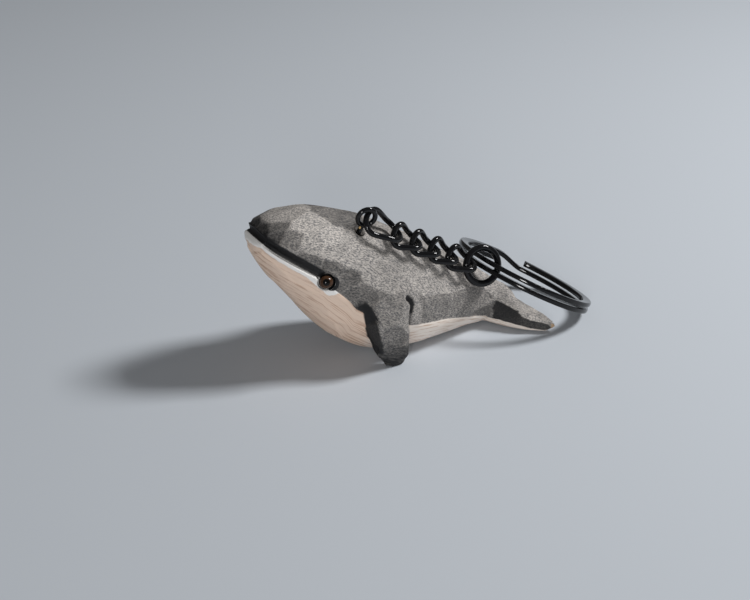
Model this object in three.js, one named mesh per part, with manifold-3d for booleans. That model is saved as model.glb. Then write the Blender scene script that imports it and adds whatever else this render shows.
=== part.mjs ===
// Carved wooden whale on a key ring. Millimetres, +Z up, head towards -X, the floor at z = 0.
import * as THREE from 'three';
import { mergeVertices } from 'three/addons/utils/BufferGeometryUtils.js';
import Module from 'manifold-3d';

// Main sizes of the carving
const bodyLength = 62;
const bodyHeight = 32;
const bodyBreadth = 24;

// Clearances
const seatGap = 0.3; // between touching pieces
const turnGap = 0.45; // between the two turns of the split ring

// The tables of the carving are drawn on a grid of 62 along, 24 across and 32 up.
const grid = { along: bodyLength / 62, across: bodyBreadth / 24, up: bodyHeight / 32 };
const ways = {
  along: ['at', 'front', 'rear'],
  across: ['beam', 'inner', 'outer', 'span'],
  up: ['top', 'keel', 'widest', 'height', 'middle', 'fall', 'thick', 'under'],
};
function drawn(row) {
  const sized = { ...row };
  for (const way of Object.keys(ways)) {
    for (const key of ways[way].filter((k) => k in row)) {
      sized[key] = row[key] * grid[way];
    }
  }
  return sized;
}

// Carved body: one row for each cross-section, from the lower jaw to the root of the flukes.
// top and keel are heights on the midline, beam is half the width, widest its height,
// crown and bilge are the fullness of the upper and the lower half.
const jawTip = drawn({ at: -31.3, height: 26.3 });
const sections = [
  { at: -31.0, top: 27.0, keel: 25.1, beam: 2.6, widest: 26.6, crown: 2.2, bilge: 2.0 },
  { at: -30.4, top: 27.5, keel: 23.6, beam: 4.3, widest: 26.9, crown: 2.2, bilge: 2.0 },
  { at: -30.1, top: 28.8, keel: 23.0, beam: 4.9, widest: 26.8, crown: 2.2, bilge: 2.0 },
  { at: -29.4, top: 29.8, keel: 21.7, beam: 5.9, widest: 26.4, crown: 2.1, bilge: 2.0 },
  { at: -27.6, top: 30.9, keel: 18.9, beam: 7.5, widest: 25.0, crown: 2.05, bilge: 2.0 },
  { at: -25.0, top: 31.6, keel: 15.7, beam: 9.0, widest: 23.2, crown: 2.0, bilge: 2.0 },
  { at: -22.4, top: 31.8, keel: 12.4, beam: 10.1, widest: 21.5, crown: 1.95, bilge: 2.0 },
  { at: -19.0, top: 31.6, keel: 8.2, beam: 11.2, widest: 19.2, crown: 1.9, bilge: 2.0 },
  { at: -15.0, top: 30.8, keel: 4.4, beam: 11.8, widest: 16.6, crown: 1.8, bilge: 2.0 },
  { at: -10.0, top: 29.1, keel: 1.4, beam: 12.0, widest: 13.8, crown: 1.7, bilge: 2.0 },
  { at: -4.0, top: 26.1, keel: -0.15, beam: 11.6, widest: 11.2, crown: 1.65, bilge: 2.0 },
  { at: 2.0, top: 22.6, keel: -0.25, beam: 10.2, widest: 9.2, crown: 1.65, bilge: 2.0 },
  { at: 8.0, top: 18.9, keel: 0.0, beam: 8.2, widest: 7.7, crown: 1.7, bilge: 2.0 },
  { at: 14.0, top: 15.2, keel: 0.4, beam: 6.0, widest: 6.6, crown: 1.8, bilge: 2.0 },
  { at: 19.0, top: 11.7, keel: 0.6, beam: 4.5, widest: 5.6, crown: 1.9, bilge: 2.0 },
  { at: 23.0, top: 8.6, keel: 0.8, beam: 3.8, widest: 4.4, crown: 2.0, bilge: 2.0 },
  { at: 26.0, top: 6.3, keel: 1.0, beam: 3.2, widest: 3.4, crown: 2.0, bilge: 2.0 },
].map(drawn);
const lipDepth = 0.8; // how far the upper jaw sits in from the lip
const lipFadeFrom = -23.5 * grid.along;
const lipFadeTo = -18.5 * grid.along;

// Flippers: outline in the side view, heights from the shoulder down to the tip
const flipperRows = [
  { height: 20.6, front: -14.6, rear: -4.6, inner: 6.0, outer: 9.8 },
  { height: 17.8, front: -15.2, rear: -3.8, inner: 6.8, outer: 11.9 },
  { height: 15.0, front: -15.4, rear: -3.0, inner: 7.8, outer: 13.4 },
  { height: 12.0, front: -15.0, rear: -3.0, inner: 9.0, outer: 14.3 },
  { height: 7.0, front: -12.8, rear: -3.3, inner: 9.6, outer: 14.0 },
  { height: 3.0, front: -10.0, rear: -2.9, inner: 9.4, outer: 12.8 },
  { height: 0.8, front: -8.0, rear: -3.0, inner: 9.2, outer: 11.8 },
  { height: -0.3, front: -7.2, rear: -4.0, inner: 9.4, outer: 11.2 },
].map(drawn);

// Flukes: one row for each distance from the midline, thick above the middle, under its lower face
const flukeRows = [
  { span: 0.0, front: 17.0, rear: 28.0, middle: 4.0, fall: 2.6, thick: 6.0, under: 0.6 },
  { span: 3.0, front: 19.0, rear: 28.8, middle: 3.6, fall: 2.2, thick: 5.2, under: 0.5 },
  { span: 5.2, front: 20.6, rear: 29.6, middle: 3.1, fall: 1.8, thick: 4.2, under: 0.4 },
  { span: 7.6, front: 22.8, rear: 30.4, middle: 2.5, fall: 1.3, thick: 3.2, under: 0.4 },
  { span: 9.8, front: 25.2, rear: 30.8, middle: 1.9, fall: 0.8, thick: 2.2, under: 0.45 },
  { span: 11.4, front: 28.0, rear: 30.4, middle: 1.4, fall: 0.3, thick: 1.3, under: 0.6 },
].map(drawn);

// Eyes
const eyeAt = -20.2 * grid.along;
const eyeAboveLip = 0.3;
const eyeDiameter = 2.7;
const eyeDome = 0.9;
const eyeStub = 1.6;

// Screw eye
const screwAt = -10.4 * grid.along;
const screwSideways = -5.0 * grid.across; // its place to the left of the midline
const screwWire = 1.0;
const screwLoop = 4.5; // outer diameter of the loop
const screwStand = 0.6; // the loop above the wood
const screwLength = 8.0; // shank below the wood's surface
const screwThread = 1.7; // outer diameter of the thread
const screwPitch = 0.9;

// Chain: the first link is larger than the others
const firstLink = { length: 9.7, width: 6.2, wire: 1.2, twist: 0.7, roll: 0 };
const linkLength = 7.6;
const linkWidth = 5.5;
const linkWire = 1.2;
const linkTwist = 0.9; // how far each link's wire winds out of its plane, so that the links lie flat
const linkRolls = [4, 0, 0, 0]; // degrees about the chain's own line
const chainSideways = -3.1 * grid.across; // how far the chain's end lies to the left of the midline

// End ring and split ring
const endRingSize = 8.4; // outer diameter
const endRingWire = 1.2;
const endRise = 0.3; // the last link climbs this much to the end ring
const endRingRoll = 74; // degrees from lying flat
const endHang = 24; // degrees that it hangs down at most
const splitSize = 30; // outer diameter
const splitWire = { across: 1.9, along: 0.95, corner: 0.3 };
const splitStep = 26; // degrees over which the wire steps from one turn to the next
const splitTurn = 262; // where the step lies, degrees round from the ring's top
const splitBack = 1.0; // its wire behind the middle of the end ring
const splitLowest = -0.15; // its wire at least this high from the middle of the end ring
const floorGap = 0.1;

const wasm = await Module();
wasm.setup();
const rad = THREE.MathUtils.degToRad;

function vec(x, y, z) {
  return new THREE.Vector3(x, y, z);
}

// Smooth value of one column of a table at x
function along(rows, where, key, x) {
  let i = 0;
  while (i < rows.length - 2 && x > rows[i + 1][where]) {
    i += 1;
  }
  const a = rows[i];
  const b = rows[i + 1];
  const slope = (j) => {
    const l = rows[Math.max(j - 1, 0)];
    const r = rows[Math.min(j + 1, rows.length - 1)];
    return (r[key] - l[key]) / (r[where] - l[where]);
  };
  const step = b[where] - a[where];
  const t = THREE.MathUtils.clamp((x - a[where]) / step, 0, 1);
  const u = t * t * (3 - 2 * t);
  const inA = t * (1 - t) * (1 - t) * step * slope(i);
  const inB = t * t * (t - 1) * step * slope(i + 1);
  return a[key] + (b[key] - a[key]) * u + inA + inB;
}

function section(x) {
  const at = {};
  for (const key of ['top', 'keel', 'beam', 'widest', 'crown', 'bilge']) {
    at[key] = along(sections, 'at', key, x);
  }
  return at;
}

// Half width of the upper half of a section at a height
function upperWidth(s, z) {
  const share = THREE.MathUtils.clamp((z - s.widest) / (s.top - s.widest), 0, 1);
  return s.beam * (1 - share ** s.crown) ** (1 / s.crown);
}

// Height of the back at a place beside the midline
function backHeight(x, y) {
  const s = section(x);
  const share = Math.min(Math.abs(y) / s.beam, 1);
  return s.widest + (s.top - s.widest) * (1 - share ** s.crown) ** (1 / s.crown);
}

function backNormal(x, y) {
  const d = 0.05;
  const dx = (backHeight(x + d, y) - backHeight(x - d, y)) / (2 * d);
  const dy = (backHeight(x, y + d) - backHeight(x, y - d)) / (2 * d);
  return vec(-dx, -dy, 1).normalize();
}

// Half of a section from the keel up to the top, with the mouth as a step above the widest line
const lowerSteps = 8;
const upperSteps = 9;
function halfSection(x) {
  const s = section(x);
  const points = [];
  for (let i = 0; i < lowerSteps; i += 1) {
    const a = (i / lowerSteps) * Math.PI / 2;
    const y = s.beam * Math.sin(a) ** (2 / s.bilge);
    const z = s.widest - (s.widest - s.keel) * Math.cos(a) ** (2 / s.bilge);
    points.push([y, z]);
  }
  points.push([s.beam, s.widest]);
  const high = s.top - s.widest;
  const fade = THREE.MathUtils.smoothstep(x, lipFadeFrom, lipFadeTo);
  const inset = Math.min(lipDepth, 0.4 * high) * (1 - fade);
  const mouth = [[0.06, 1], [0.2, 0.85], [0.32, 0.3]];
  for (const [share, part] of mouth) {
    const z = s.widest + high * share;
    points.push([upperWidth(s, z) - inset * part, z]);
  }
  const from = Math.acos((upperWidth(s, s.widest + 0.32 * high) / s.beam) ** (s.crown / 2));
  for (let i = 1; i <= upperSteps; i += 1) {
    const a = from + (i / upperSteps) * (Math.PI / 2 - from);
    const y = i === upperSteps ? 0 : s.beam * Math.cos(a) ** (2 / s.crown);
    points.push([y, s.widest + high * Math.sin(a) ** (2 / s.crown)]);
  }
  return points;
}

// Closed surface through loops of points, with a point or a flat fan at each end
function loft(loops, startPoint, endPoint) {
  const count = loops[0].length;
  const positions = loops.flat().flatMap((p) => [p.x, p.y, p.z]);
  const start = loops.length * count;
  for (const p of [startPoint, endPoint]) {
    positions.push(p.x, p.y, p.z);
  }
  const index = [];
  for (let i = 0; i < loops.length - 1; i += 1) {
    for (let j = 0; j < count; j += 1) {
      const a = i * count + j;
      const b = i * count + (j + 1) % count;
      index.push(a, b, a + count, b, b + count, a + count);
    }
  }
  const last = (loops.length - 1) * count;
  for (let j = 0; j < count; j += 1) {
    const k = (j + 1) % count;
    index.push(start, k, j);
    index.push(start + 1, last + j, last + k);
  }
  const g = new THREE.BufferGeometry();
  g.setAttribute('position', new THREE.Float32BufferAttribute(positions, 3));
  g.setIndex(index);
  return g;
}

function middle(points) {
  const sum = points.reduce((a, p) => a.add(p), vec(0, 0, 0));
  return sum.divideScalar(points.length);
}

// A geometry as a solid for joining and cutting, faces turned outwards
function solid(geometry) {
  const bare = new THREE.BufferGeometry();
  bare.setAttribute('position', geometry.getAttribute('position').clone());
  if (geometry.index) {
    bare.setIndex(geometry.index.clone());
  }
  const g = mergeVertices(bare, 1e-4);
  const corners = [];
  for (let i = 0; i < g.index.count; i += 3) {
    const t = [g.index.getX(i), g.index.getX(i + 1), g.index.getX(i + 2)];
    if (t[0] !== t[1] && t[1] !== t[2] && t[0] !== t[2]) {
      corners.push(...t);
    }
  }
  const make = (list) => new wasm.Manifold(new wasm.Mesh({
    numProp: 3,
    vertProperties: new Float32Array(g.getAttribute('position').array),
    triVerts: new Uint32Array(list),
  }));
  const made = make(corners);
  if (made.volume() > 0) {
    return made;
  }
  const turned = corners.slice();
  for (let i = 0; i < turned.length; i += 3) {
    [turned[i + 1], turned[i + 2]] = [turned[i + 2], turned[i + 1]];
  }
  return make(turned);
}

function geometryOf(made) {
  const mesh = made.getMesh();
  const n = mesh.numProp;
  const points = new Float32Array(mesh.numVert * 3);
  for (let i = 0; i < mesh.numVert; i += 1) {
    points.set(mesh.vertProperties.subarray(i * n, i * n + 3), i * 3);
  }
  const g = new THREE.BufferGeometry();
  g.setAttribute('position', new THREE.BufferAttribute(points, 3));
  g.setIndex(new THREE.BufferAttribute(new Uint32Array(mesh.triVerts), 1));
  return g;
}

// Frame with its x along one direction and its z as near as possible to another
function frame(origin, xDirection, zDirection) {
  const x = xDirection.clone().normalize();
  const y = zDirection.clone().cross(x).normalize();
  const z = x.clone().cross(y);
  return new THREE.Matrix4().makeBasis(x, y, z).setPosition(origin);
}

// Body
function bodyGeometry() {
  const loops = [];
  const steps = [2, 2, 2, 3, 3, 3, 3, 3, 3, 3, 3, 3, 3, 3, 3, 3];
  const places = [];
  sections.slice(0, -1).forEach((s, i) => {
    const next = sections[i + 1];
    for (let k = 0; k < steps[i]; k += 1) {
      places.push(s.at + (next.at - s.at) * k / steps[i]);
    }
  });
  places.push(sections[sections.length - 1].at);
  for (const x of places) {
    const half = halfSection(x);
    const right = half.map(([y, z]) => vec(x, y, z));
    const left = half.slice(1, -1).reverse().map(([y, z]) => vec(x, -y, z));
    loops.push([...right, ...left]);
  }
  const end = middle(loops[loops.length - 1]);
  return loft(loops, vec(jawTip.at, 0, jawTip.height), end);
}

// Flipper on one side: side is -1 for the left, 1 for the right
function flipperGeometry(side) {
  const loops = [];
  const steps = 12;
  for (let i = 0; i <= steps; i += 1) {
    const first = flipperRows[0].height;
    const last = flipperRows[flipperRows.length - 1].height;
    const z = first + (last - first) * i / steps;
    const row = {};
    const down = flipperRows.map((r) => ({ ...r, depth: -r.height }));
    for (const key of ['front', 'rear', 'inner', 'outer']) {
      row[key] = along(down, 'depth', key, -z);
    }
    const chord = row.rear - row.front;
    const thick = row.outer - row.inner;
    // thick front with a broad bevel, thinner towards the rear edge
    const outline = [[0, 0.35], [0.1, 0.62], [0.24, 0.92], [0.36, 1], [0.62, 0.96], [0.86, 0.84],
      [1, 0.6], [1, 0.4], [0.86, 0.16], [0.6, 0.02], [0.3, 0], [0.1, 0.12]];
    loops.push(outline.map(([u, v]) => {
      return vec(row.front + chord * u, side * (row.inner + thick * v), z);
    }));
  }
  return loft(loops, middle(loops[0]), middle(loops[loops.length - 1]));
}

function flukeGeometry() {
  const loops = [];
  const far = flukeRows[flukeRows.length - 1].span;
  const steps = 8;
  for (let i = -steps; i <= steps; i += 1) {
    const y = far * i / steps;
    const row = {};
    for (const key of ['front', 'rear', 'middle', 'fall', 'thick', 'under']) {
      row[key] = along(flukeRows, 'span', key, Math.abs(y));
    }
    const chord = row.rear - row.front;
    // upper half in shares of the thickness, lower half in shares of the way down to the lower face
    const outline = [[0, 0], [0.06, 0.36], [0.22, 0.5], [0.5, 0.42], [0.8, 0.24], [1, 0.1],
      [1, -0.2], [0.8, -0.6], [0.5, -0.9], [0.16, -1], [0.03, -0.8]];
    loops.push(outline.map(([u, v]) => {
      const line = row.middle + row.fall * (0.5 - u);
      const z = v < 0 ? line - (row.under - line) * v : line + row.thick * v;
      return vec(row.front + chord * u, y, z);
    }));
  }
  return loft(loops, middle(loops[0]), middle(loops[loops.length - 1]));
}

// Eye: its seat on the skin and the direction it looks
function eyeFrame(side) {
  const s = section(eyeAt);
  const z = s.widest + eyeAboveLip;
  const d = 0.1;
  const point = (x, h) => vec(x, side * upperWidth(section(x), h), h);
  const here = point(eyeAt, z);
  const ahead = point(eyeAt + d, z).sub(here);
  const higher = point(eyeAt, z + d).sub(here);
  const out = ahead.cross(higher).normalize();
  if (out.y * side < 0) {
    out.negate();
  }
  return frame(here, out, vec(0, 0, 1));
}

// Round pieces are turned about the local x axis
function turned(profile, sides) {
  const shape = profile.map(([r, x]) => new THREE.Vector2(r, x));
  return new THREE.LatheGeometry(shape, sides).rotateZ(-Math.PI / 2);
}

function eyeGeometry() {
  const r = eyeDiameter / 2;
  const profile = [[0, -eyeStub], [r, -eyeStub]];
  const steps = 6;
  for (let i = 0; i <= steps; i += 1) {
    const a = (i / steps) * Math.PI / 2;
    profile.push([i === steps ? 0 : r * Math.cos(a), eyeDome * Math.sin(a)]);
  }
  return turned(profile, 20);
}

function eyeSocket() {
  const r = eyeDiameter / 2 + seatGap;
  const deep = eyeStub + seatGap;
  return turned([[0, -deep], [r, -deep], [r, eyeDome + 2], [0, eyeDome + 2]], 20);
}

// Screw eye: local x runs up out of the wood from the skin
const loopRadius = (screwLoop - screwWire) / 2;
const loopHeight = screwStand + screwLoop / 2;
function screwShank() {
  const core = screwWire / 2;
  const crest = screwThread / 2;
  const sides = 12;
  const threadTop = -1.4;
  const pointLength = 1.6;
  const rows = 42;
  const loops = [];
  for (let i = 0; i <= rows; i += 1) {
    const x = -screwLength + (screwLength + threadTop) * i / rows;
    const taper = Math.min((x + screwLength) / pointLength + 0.12, 1);
    const loop = [];
    for (let j = 0; j < sides; j += 1) {
      const a = (j / sides) * 2 * Math.PI;
      const phase = (x / screwPitch - j / sides) * 2 * Math.PI;
      const runOut = THREE.MathUtils.smoothstep(threadTop - x, 0.1, 0.8);
      const ridge = Math.max(Math.cos(phase), 0) * runOut;
      const r = (core + (crest - core) * ridge) * taper;
      loop.push(vec(x, r * Math.cos(a), r * Math.sin(a)));
    }
    loops.push(loop);
  }
  const neck = loopHeight - loopRadius + screwWire * 0.3;
  for (const x of [threadTop + 0.4, neck]) {
    const ring = [];
    for (let j = 0; j < sides; j += 1) {
      const a = (j / sides) * 2 * Math.PI;
      ring.push(vec(x, core * Math.cos(a), core * Math.sin(a)));
    }
    loops.push(ring);
  }
  return loft(loops, middle(loops[0]), middle(loops[loops.length - 1]));
}

// Wire bent round almost to a full turn, its ends at the shank
class LoopPath extends THREE.Curve {
  getPoint(t, target = new THREE.Vector3()) {
    const open = 0.16;
    const a = Math.PI + open + t * 2 * (Math.PI - open);
    return target.set(loopHeight + loopRadius * Math.cos(a), loopRadius * Math.sin(a), 0);
  }
}

function screwLoopGeometry() {
  const shape = new THREE.Shape();
  shape.absarc(0, 0, screwWire / 2, 0, 2 * Math.PI);
  const options = { extrudePath: new LoopPath(), steps: 30, bevelEnabled: false, curveSegments: 5 };
  return new THREE.ExtrudeGeometry(shape, options);
}

// Oval path of a link in its own plane, from the middle of its near end round and back
class OvalPath extends THREE.Curve {
  constructor(length, width, wire, twist) {
    super();
    this.r = (width - wire) / 2;
    this.straight = Math.max(length - width, 0.01);
    this.twist = twist;
  }

  getPoint(t, target = new THREE.Vector3()) {
    return this.flat(t, target).setZ(this.twist * Math.sin(4 * Math.PI * t));
  }

  flat(t, target) {
    const half = Math.PI * this.r;
    const total = 2 * (half + this.straight);
    let s = (t - Math.floor(t)) * total;
    const far = this.straight;
    if (s < half / 2) {
      const a = Math.PI - s / this.r;
      return target.set(this.r * Math.cos(a), this.r * Math.sin(a), 0);
    }
    s -= half / 2;
    if (s < far) {
      return target.set(s, this.r, 0);
    }
    s -= far;
    if (s < half) {
      const a = Math.PI / 2 - s / this.r;
      return target.set(far + this.r * Math.cos(a), this.r * Math.sin(a), 0);
    }
    s -= half;
    if (s < far) {
      return target.set(far - s, -this.r, 0);
    }
    s -= far;
    const a = -Math.PI / 2 - s / this.r;
    return target.set(this.r * Math.cos(a), this.r * Math.sin(a), 0);
  }
}

function linkGeometry(length, width, wire, twist) {
  const path = new OvalPath(length, width, wire, twist);
  return new THREE.TubeGeometry(path, 40, wire / 2, 10, true);
}

// Split ring: two flat turns and a step between them, about local z, from the angle 0
const splitRadius = (splitSize - splitWire.across) / 2;
const splitRise = splitWire.along + turnGap;
const splitThick = splitRise + splitWire.along;
class SplitPath extends THREE.Curve {
  getPoint(t, target = new THREE.Vector3()) {
    const turns = 720 - splitStep;
    const a = t * turns;
    const rise = THREE.MathUtils.smoothstep(a, 360 - splitStep, 360) - 0.5;
    const b = rad(a);
    return target.set(splitRadius * Math.cos(b), splitRadius * Math.sin(b), splitRise * rise);
  }
}

function splitGeometry() {
  const half = { x: splitWire.along / 2, y: splitWire.across / 2 };
  const c = splitWire.corner;
  const shape = new THREE.Shape();
  shape.moveTo(-half.x + c, -half.y);
  shape.lineTo(half.x - c, -half.y);
  shape.quadraticCurveTo(half.x, -half.y, half.x, -half.y + c);
  shape.lineTo(half.x, half.y - c);
  shape.quadraticCurveTo(half.x, half.y, half.x - c, half.y);
  shape.lineTo(-half.x + c, half.y);
  shape.quadraticCurveTo(-half.x, half.y, -half.x, half.y - c);
  shape.lineTo(-half.x, -half.y + c);
  shape.quadraticCurveTo(-half.x, -half.y, -half.x + c, -half.y);
  const options = { extrudePath: new SplitPath(), steps: 132, bevelEnabled: false, curveSegments: 2 };
  return new THREE.ExtrudeGeometry(shape, options);
}

// Least distance between points of the wire's skin that lie a turn apart
function splitSelfGap() {
  const path = new SplitPath();
  const turns = 720 - splitStep;
  let least = Infinity;
  for (let a = 0; a <= turns - 300; a += 1) {
    for (let b = a + 300; b <= Math.min(a + 400, turns); b += 1) {
      const p = path.getPoint(a / turns);
      const q = path.getPoint(b / turns);
      const flat = Math.hypot(p.x - q.x, p.y - q.y);
      const up = Math.abs(p.z - q.z) - splitWire.along;
      least = Math.min(least, up > 0 ? Math.hypot(flat, up) : flat);
    }
  }
  return least;
}

// Chain line: a curve above the back, from the screw eye to the end ring
const linkRadius = (linkWidth - linkWire) / 2;
const steepest = Math.max(...linkRolls.map((roll) => Math.abs(Math.sin(rad(roll)))));
const linkLift = linkRadius * steepest + linkTwist + linkWire / 2 + seatGap;
const endRadius = (endRingSize - endRingWire) / 2;
const chainSpan = firstLink.length + linkRolls.length * linkLength;
function above(x, y, lift) {
  return vec(x, y, backHeight(x, y)).addScaledVector(backNormal(x, y), lift);
}

function chainBeside(x) {
  const share = THREE.MathUtils.smoothstep(x, screwAt, screwAt + 0.7 * chainSpan);
  return screwSideways + (chainSideways - screwSideways) * share;
}

// Next point above the back at a set distance from the last
function chainStep(from, distance, lift, beside) {
  let low = from.x - distance * 0.2;
  let high = from.x + distance * 1.2;
  for (let i = 0; i < 50; i += 1) {
    const x = (low + high) / 2;
    if (above(x, beside(x), lift).distanceTo(from) < distance) {
      low = x;
    } else {
      high = x;
    }
  }
  const x = (low + high) / 2;
  return above(x, beside(x), lift);
}

// Points on the skin of the tail, and how far others stay from them
const tailSkin = [];
for (let x = 7 * grid.along; x < sections[sections.length - 1].at; x += 0.4) {
  const half = halfSection(x);
  for (let i = 1; i < half.length; i += 1) {
    for (const t of [0, 0.33, 0.67]) {
      const y = THREE.MathUtils.lerp(half[i - 1][0], half[i][0], t);
      const z = THREE.MathUtils.lerp(half[i - 1][1], half[i][1], t);
      tailSkin.push(vec(x, y, z), vec(x, -y, z));
    }
  }
}

function nearestSkin(points) {
  let least = Infinity;
  for (const p of points) {
    for (const q of tailSkin) {
      least = Math.min(least, p.distanceToSquared(q));
    }
  }
  return Math.sqrt(least);
}

const group = new THREE.Group();
group.name = 'whale_key_ring';
const joints = {};

function add(name, made, colour, roughness, metalness) {
  const look = new THREE.MeshStandardMaterial({ color: colour, roughness, metalness });
  const mesh = new THREE.Mesh(geometryOf(made), look);
  mesh.name = name;
  group.add(mesh);
}

function addMetal(name, geometry, matrix) {
  add(name, solid(geometry.applyMatrix4(matrix)), 0x141416, 0.22, 0.85);
}

// Screw eye stands square to the back, its hole across the whale
const screwFoot = vec(screwAt, screwSideways, backHeight(screwAt, screwSideways));
const screwUp = backNormal(screwAt, screwSideways / 4);
const screwFrame = frame(screwFoot, screwUp, vec(0, 1, 0));
const screwHole = vec(loopHeight, 0, 0).applyMatrix4(screwFrame);

function bodySolid() {
  let whole = solid(bodyGeometry());
  for (const side of [-1, 1]) {
    whole = whole.add(solid(flipperGeometry(side)));
  }
  whole = whole.add(solid(flukeGeometry()));
  const below = new THREE.BoxGeometry(2 * bodyLength, 2 * bodyLength, bodyHeight);
  whole = whole.subtract(solid(below.translate(0, 0, -bodyHeight / 2)));
  for (const side of [-1, 1]) {
    const socket = eyeSocket().applyMatrix4(eyeFrame(side));
    whole = whole.subtract(solid(socket));
  }
  const r = screwThread / 2 + seatGap;
  const deep = screwLength + seatGap;
  const hole = turned([[0, -deep], [r, -deep], [r, 3], [0, 3]], 16);
  return whole.subtract(solid(hole.applyMatrix4(screwFrame)));
}

add('whale_body', bodySolid(), 0x8a8683, 0.75, 0);
add('left_eye', solid(eyeGeometry().applyMatrix4(eyeFrame(-1))), 0x120c08, 0.08, 0);
add('right_eye', solid(eyeGeometry().applyMatrix4(eyeFrame(1))), 0x120c08, 0.08, 0);
const screw = solid(screwShank().applyMatrix4(screwFrame));
const screwRing = solid(screwLoopGeometry().applyMatrix4(screwFrame));
add('screw_eye', screw.add(screwRing), 0x1a1816, 0.3, 0.85);

// Normal of a link's plane, rolled about the chain from lying flat towards the left side
function rolled(line, at, roll) {
  const up = backNormal(at.x, at.y);
  const left = line.clone().cross(up).normalize();
  const square = left.clone().cross(line);
  const n = square.multiplyScalar(Math.cos(rad(roll)));
  return n.addScaledVector(left, Math.sin(rad(roll)));
}

// A turn about the axis that lifts the far end is positive
function lifting(axis, line, x) {
  const lifts = axis.clone().cross(line).dot(backNormal(x, 0)) > 0;
  return lifts ? axis.clone() : axis.clone().negate();
}

// First link hangs in the screw eye and turns about its own near end
let pivot = screwHole;
let wireBefore = firstLink.wire;
const reach = firstLink.length - firstLink.wire;
let next = chainStep(pivot, reach, linkLift, chainBeside);
let line = next.clone().sub(pivot).normalize();
let normal = rolled(line, next, firstLink.roll);
const firstRadius = (firstLink.width - firstLink.wire) / 2;
const firstPlace = frame(pivot.clone().addScaledVector(line, firstRadius), line, normal);
const first = linkGeometry(firstLink.length, firstLink.width, firstLink.wire, firstLink.twist);
addMetal('chain_link_1', first, firstPlace);
joints.chain_link_1 = { pivot, axis: lifting(normal.clone().cross(line), line, pivot.x) };
pivot = next;

// Each further link lies in the one before it, its plane across that one's
linkRolls.forEach((roll, i) => {
  const hooked = (wireBefore + linkWire) / 2 + seatGap;
  const last = i === linkRolls.length - 1;
  const lift = last ? linkLift + endRise : linkLift;
  next = chainStep(pivot, linkLength - linkWire - hooked, lift, chainBeside);
  line = next.clone().sub(pivot).normalize();
  normal = rolled(line, pivot, roll);
  const centre = pivot.clone().addScaledVector(line, linkRadius - hooked);
  const link = linkGeometry(linkLength, linkWidth, linkWire, linkTwist);
  addMetal(`chain_link_${i + 2}`, link, frame(centre, line, normal));
  // a steep link turns in its own plane about the wire it hangs on, a flat one about its near end
  const steep = Math.abs(Math.sin(rad(roll))) > 0.7;
  const nearEnd = pivot.clone().addScaledVector(line, -hooked);
  const axis = steep ? normal : normal.clone().cross(line);
  joints[`chain_link_${i + 2}`] = { pivot: steep ? pivot : nearEnd, axis: lifting(axis, line, pivot.x) };
  pivot = next;
  wireBefore = linkWire;
});

// End ring hangs down the left side of the tail and leans on it
const endHooked = (linkWire + endRingWire) / 2 + seatGap;
const endLean = rad(endRingRoll);
const endFace = vec(0, -Math.sin(endLean), Math.cos(endLean));
const endBack = vec(0, 0, 1).cross(endFace).normalize();
const endDown = endBack.clone().cross(endFace).normalize();
function endPlace(dip) {
  const way = endBack.clone().multiplyScalar(Math.cos(rad(dip)));
  way.addScaledVector(endDown, Math.sin(rad(dip)));
  return frame(pivot.clone().addScaledVector(way, endRadius - endHooked), way, endFace);
}
function endClear(place) {
  const points = [];
  for (let a = 0; a < 360; a += 10) {
    const at = vec(endRadius * Math.cos(rad(a)), endRadius * Math.sin(rad(a)), 0);
    points.push(at.applyMatrix4(place));
  }
  return nearestSkin(points) - endRingWire / 2;
}
let endDip = endHang;
while (endDip > -60 && endClear(endPlace(endDip)) < seatGap + 0.1) {
  endDip -= 1;
}
const endFrame = endPlace(endDip);
const endCentre = vec(0, 0, 0).applyMatrix4(endFrame);
const endLine = vec(1, 0, 0).transformDirection(endFrame);
const endNormal = vec(0, 0, 1).transformDirection(endFrame);
const endRing = new THREE.TorusGeometry(endRadius, endRingWire / 2, 12, 36);
addMetal('end_ring', endRing, endFrame);
joints.end_ring = { pivot, axis: lifting(endNormal, endLine, pivot.x) };

// Split ring: held by the end ring near its top, its lower side on the floor
const left = vec(0, -1, 0);
function splitTilt(held, turn) {
  const drop = splitRadius * Math.cos(turn) + splitSize / 2;
  let low = 0;
  let high = Math.PI / 2;
  for (let i = 0; i < 50; i += 1) {
    const tilt = (low + high) / 2;
    const lowest = held.z - drop * Math.sin(tilt) - splitThick / 2 * Math.cos(tilt);
    if (lowest > floorGap) {
      low = tilt;
    } else {
      high = tilt;
    }
  }
  return low;
}
function splitPlace(up) {
  const held = endCentre.clone().add(vec(splitBack, 0, up));
  const turn = Math.asin(THREE.MathUtils.clamp(-held.y / splitRadius, -1, 1));
  const tilt = splitTilt(held, turn);
  const down = vec(Math.cos(tilt), 0, -Math.sin(tilt));
  const normal = vec(Math.sin(tilt), 0, Math.cos(tilt));
  const round = (angle) => {
    const out = left.clone().multiplyScalar(Math.sin(angle));
    return out.addScaledVector(down, -Math.cos(angle));
  };
  const centre = held.clone().addScaledVector(round(turn), -splitRadius);
  return { held, turn, tilt, down, normal, round, centre };
}
function splitClear(place) {
  const points = [];
  for (let a = -80; a <= 80; a += 4) {
    for (const side of [-0.5, 0.5]) {
      const out = splitRadius + side * (splitWire.across - splitWire.along);
      const at = place.centre.clone().addScaledVector(place.round(rad(a)), out);
      points.push(at.addScaledVector(place.normal, -splitRise / 2));
    }
  }
  return nearestSkin(points) - splitWire.along / 2;
}
let splitUp = splitLowest;
while (splitUp < endRadius && splitClear(splitPlace(splitUp)) < seatGap + 0.1) {
  splitUp += 0.05;
}
const splitAt = splitPlace(splitUp);
const splitFrame = frame(splitAt.centre, splitAt.round(rad(splitTurn)), splitAt.normal);
addMetal('split_ring', splitGeometry(), splitFrame);
const heldAlong = splitAt.normal.clone().cross(splitAt.round(splitAt.turn));
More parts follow.
